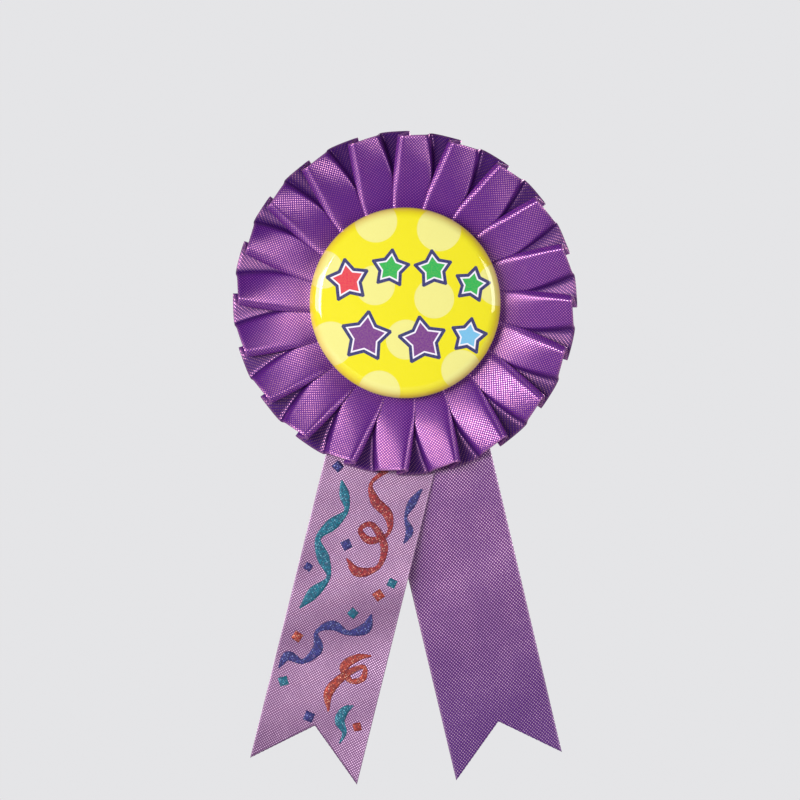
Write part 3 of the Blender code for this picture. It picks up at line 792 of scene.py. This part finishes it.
def make_prints():
    """Streamers and confetti printed on the front tail. Rows are (across, along, width)."""
    teal = [streamer([(-7.6, 43.5, 0.4), (-6.2, 46.5, 1.9), (-4.9, 50.0, 0.9), (-7.2, 53.6, 2.3),
                      (-9.6, 57.6, 1.1), (-7.4, 61.6, 2.4), (-5.2, 65.6, 0.8), (-7.6, 69.8, 2.2),
                      (-9.8, 74.0, 0.3)]),
            streamer([(7.4, 92.6, 0.3), (5.8, 94.0, 1.6), (5.2, 96.6, 1.9), (6.9, 99.0, 0.9),
                      (6.4, 101.6, 0.3)]),
            confetti(2.2, 72.2, 1.7, 28), confetti(-9.4, 91.0, 1.8, 60), confetti(9.2, 63.4, 1.7, 12)]
    red = [streamer([(1.8, 38.6, 1.2), (-0.9, 42.6, 0.7), (1.0, 46.2, 1.9), (4.6, 48.6, 1.8),
                     (5.6, 52.6, 0.7), (2.0, 55.2, 1.5), (-0.8, 53.4, 0.9), (1.6, 51.6, 1.1),
                     (5.4, 55.6, 1.5), (5.2, 60.6, 0.9), (1.0, 62.8, 1.9), (-2.2, 60.4, 0.3)])]
    orange = [streamer([(8.6, 80.6, 0.3), (5.6, 81.8, 1.4), (3.2, 84.6, 1.7), (5.4, 87.2, 1.0),
                        (8.0, 86.0, 1.2), (7.4, 83.4, 0.8), (3.6, 86.6, 1.4), (1.2, 91.0, 1.8),
                        (2.2, 95.2, 0.3)]),
              confetti(6.9, 66.8, 1.9, 40), confetti(-8.8, 80.4, 1.8, 20), confetti(9.4, 97.0, 1.6, 65)]
    indigo = [streamer([(10.6, 41.0, 0.4), (9.2, 44.6, 1.6), (8.6, 48.2, 0.6), (10.2, 51.0, 1.5),
                        (9.6, 54.0, 0.3)]),
              streamer([(6.4, 71.4, 0.3), (5.8, 74.8, 2.1), (2.2, 76.8, 1.0), (-1.6, 76.0, 1.9),
                        (-4.8, 78.4, 0.7), (-3.6, 82.0, 2.0), (-6.2, 85.6, 1.0), (-9.8, 85.2, 1.8),
                        (-11.2, 88.4, 0.3)]),
              confetti(-9.2, 40.6, 1.8, 33), confetti(-3.0, 57.4, 1.9, 50), confetti(-1.8, 97.4, 1.9, 8),
              confetti(-10.2, 64.4, 1.5, 20)]
    # each set: name, grids, ink colour, deep colour and the colour of the painted glints
    sets = (("print_teal", teal, (0.007, 0.15, 0.21), (0.003, 0.052, 0.10), (0.16, 0.38, 0.48)),
            ("print_red", red, (0.31, 0.026, 0.026), (0.12, 0.006, 0.016), (0.60, 0.28, 0.22)),
            ("print_orange", orange, (0.38, 0.050, 0.028), (0.15, 0.014, 0.016), (0.64, 0.34, 0.24)),
            ("print_indigo", indigo, (0.034, 0.035, 0.19), (0.013, 0.010, 0.078), (0.18, 0.21, 0.44)))
    made = []
    for i, (name, grids, colour, deep, painted_glint_colour) in enumerate(sets):
        ink = print_ink(name + "_ink", colour, deep, painted_glint_colour)
        above = TAIL_CLOTH / 2 + INK_GAP + INK_STEP * i
        made.append(make_print(name, LEFT_TAIL, grids, ink, above))
    return made


# ---------------------------------------------------------------- button

def button_side(offset, crown, shoulder, curl):
    """(radius, level) points over the button's crown, shoulder and curled rim, offset mm inside.
    The last three arguments count the steps in each arc."""
    shoulder_radius = BUTTON_RADIUS - SHOULDER_RADIUS
    reach = CROWN_RADIUS - SHOULDER_RADIUS
    crown_end = math.asin(shoulder_radius / reach)
    crown_centre = BUTTON_RIM_LEVEL - reach * math.cos(crown_end)
    parts = (((0.0, crown_centre), CROWN_RADIUS, 0.0, crown_end, crown),
             ((shoulder_radius, BUTTON_RIM_LEVEL), SHOULDER_RADIUS, crown_end, math.pi / 2, shoulder),
             ((BUTTON_RADIUS - CURL_RADIUS, BUTTON_RIM_LEVEL), CURL_RADIUS, math.pi / 2, math.pi, curl))
    points = []
    for (x, y), radius, start, end, count in parts:
        for i in range(1 if points else 0, count + 1):
            angle = start + (end - start) * i / count
            points.append((x + (radius - offset) * math.sin(angle),
                           y + (radius - offset) * math.cos(angle)))
    return points


def make_button():
    """Film and paper as one turned skin, gathered into small radial folds where it curls round."""
    angles = np.linspace(0.0, math.tau, BUTTON_STEPS, endpoint=False)
    folds = np.sin(CRIMP_FOLDS * angles + 1.5 * np.sin(7 * angles)) * (0.6 + 0.4 * np.sin(11 * angles))
    rings = []
    for radius, level in button_side(0.0, *OUTER_STEPS):
        depth = np.clip((BUTTON_RIM_LEVEL + CRIMP_BAND - level) / (3 * CRIMP_BAND), 0.0, 1.0)
        pull = 0.045 * depth * (1 + folds)
        rings.append(around_axis(radius - pull, level + 0.03 * depth * folds, angles))
    for radius, level in button_side(FACE_THICKNESS, *INNER_STEPS)[::-1]:
        rings.append(around_axis(radius, level, angles))
    points = np.array(rings)
    item = closed_object("button_face", points, points[:, :, (0, 2)])
    item.data.materials.append(button_print())
    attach(item, "rosette")
    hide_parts("button_film", "button_artwork")


# ---------------------------------------------------------------- glue, thread and pin

def make_pin_glue():
    """A bead of hot glue squeezed out round the pin's bar: a rounded oblong with an uneven edge."""
    low, high = (np.array(corner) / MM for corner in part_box("pin_glue_pad"))
    middle = (low + high) / 2
    half = (high - low) / 2
    around = np.linspace(0.0, math.tau, 160, endpoint=False)
    wobble = 0.35 * np.sin(5 * around + 0.8) + 0.25 * np.sin(11 * around + 2.0) + 0.12 * np.sin(23 * around)
    squareness = 0.42
    outline_x = np.sign(np.cos(around)) * np.abs(np.cos(around)) ** squareness
    outline_z = np.sign(np.sin(around)) * np.abs(np.sin(around)) ** squareness
    rings = []
    # the share of the outline, and y
    for share, depth in ((0.0, 0.56), (0.6, 0.56), (0.86, 0.55), (0.95, 0.50), (1.0, 0.38),
                         (1.01, 0.22), (0.98, 0.06), (0.6, 0.04), (0.0, 0.04)):
        x = middle[0] + outline_x * (half[0] * share + wobble * min(share, 1.0) * 0.8)
        z = middle[2] + outline_z * (half[2] * share + wobble * min(share, 1.0))
        rings.append(np.stack((x, np.full_like(x, depth), z), axis=1))
    points = np.array(rings)
    item = closed_object("pin_hot_glue", points, points[:, :, (0, 2)])
    item.data.materials.append(GLUE)
    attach(item, "rosette")
    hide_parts("pin_glue_pad")


def make_thread():
    """Two-ply thread in running stitches through the pleats' inner margin."""
    low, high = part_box("pleat_thread")
    radius = high[0] / MM - 0.2
    level = -(low[1] + high[1]) / 2 / MM
    twists = 170
    around = np.linspace(0.0, math.tau, 1200, endpoint=False)
    rings = []
    for side in np.linspace(0.0, math.tau, 8, endpoint=False):
        ply = 0.085 + 0.035 * np.cos(2 * (side - twists * around))
        out = radius + 0.10 * np.sin(30 * around) + ply * np.cos(side)
        up = level + 0.16 * np.sin(2 * PLEATS * around) + ply * np.sin(side)
        rings.append(around_axis(out, up, around))
    rings.append(rings[0])
    points = np.array(rings)
    uv = np.zeros(points.shape[:2] + (2,))
    uv[:, :, 0] = around[None, :] * radius
    uv[:, :, 1] = np.linspace(0.0, 1.0, len(rings))[:, None]
    item = closed_object("pleat_stitching", points, uv)
    item.data.materials.append(THREAD)
    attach(item, "rosette")
    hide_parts("pleat_thread")


def finish_node(name, material, edge):
    """A CAD node keeps its shape and takes a worked material. Its edges are eased by edge mm."""
    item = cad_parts[name]
    if edge:
        weld = item.modifiers.new("weld", "WELD")
        weld.merge_threshold = NODE_WELD * MM
        bevel = item.modifiers.new("eased_edges", "BEVEL")
        bevel.width = edge * MM
        bevel.segments = 2
        bevel.limit_method = "ANGLE"
        bevel.angle_limit = math.radians(35.0)
        bevel.harden_normals = True
    for polygon in item.data.polygons:
        polygon.use_smooth = True
    item.data.materials.clear()
    item.data.materials.append(material)


# ---------------------------------------------------------------- light and camera

def area_light(name, place, width, height, power, colour):
    """A rectangular lamp aimed at LIGHT_TARGET."""
    lamp = bpy.data.lights.new(name, "AREA")
    lamp.shape = "RECTANGLE"
    lamp.size = width
    lamp.size_y = height
    lamp.energy = power
    lamp.color = colour
    item = bpy.data.objects.new(name, lamp)
    item.location = place
    item.rotation_euler = (Vector(LIGHT_TARGET) - Vector(place)).to_track_quat("-Z", "Y").to_euler()
    bpy.context.scene.collection.objects.link(item)


def make_studio():
    """A surround that looks light but lights the object only a little, lamps, floor and camera."""
    scene = bpy.context.scene
    world = bpy.data.worlds.new("studio")
    world.use_nodes = True
    back = world.node_tree.nodes["Background"]
    back.inputs["Color"].default_value = WORLD_COLOUR
    rays = world.node_tree.nodes.new("ShaderNodeLightPath")
    shown = world.node_tree.nodes.new("ShaderNodeMapRange")
    shown.inputs["To Min"].default_value = WORLD_LIGHTING
    shown.inputs["To Max"].default_value = WORLD_SHOWN
    world.node_tree.links.new(rays.outputs["Is Camera Ray"], shown.inputs["Value"])
    world.node_tree.links.new(shown.outputs[0], back.inputs["Strength"])
    scene.world = world
    for light in LIGHTS:
        area_light(*light)
    floor = bpy.data.meshes.new("floor")
    work = bmesh.new()
    bmesh.ops.create_circle(work, cap_ends=True, segments=128, radius=FLOOR_RADIUS,
                            matrix=Matrix.Translation((0.0, 0.0, FLOOR_LEVEL)))
    work.to_mesh(floor)
    work.free()
    ground = new_object("floor", floor)
    ground.data.materials.append(studio_floor())
    camera = bpy.data.cameras.new("camera")
    camera.sensor_width = SENSOR_MM
    camera.lens = SENSOR_MM * CAMERA_DISTANCE / VIEW_WIDTH
    eye = bpy.data.objects.new("camera", camera)
    eye.location = (VIEW_CENTRE[0], VIEW_DEPTH - CAMERA_DISTANCE, VIEW_CENTRE[1])
    eye.rotation_euler = (math.radians(90.0), 0.0, 0.0)
    scene.collection.objects.link(eye)
    scene.camera = eye
    scene.view_settings.view_transform = "Standard"


make_studio()
make_pleats()
front = make_tail("tail_left_cloth", LEFT_TAIL, LILAC,
                  ("tail_left_top", "tail_left"))
rear = make_tail("tail_right_cloth", RIGHT_TAIL, PURPLE,
                 ("tail_right_top", "tail_right"))
prints = make_prints()
make_button()
make_pin_glue()
make_thread()
for node, material, edge in (("button_shell", TINPLATE, 0.0), ("button_back", TINPLATE, 0.0),
                             ("hub_card", CARD, 0.0), ("back_card", CARD, 0.0),
                             ("button_glue_pad", GLUE, 0.0), ("centre_glue", GLUE, 0.0),
                             ("pin_base", NICKEL, 0.12), ("pin_catch", NICKEL, 0.10),
                             ("pin_needle", STEEL, 0.05), ("pin_rivet", STEEL, 0.08)):
    finish_node(node, material, edge)
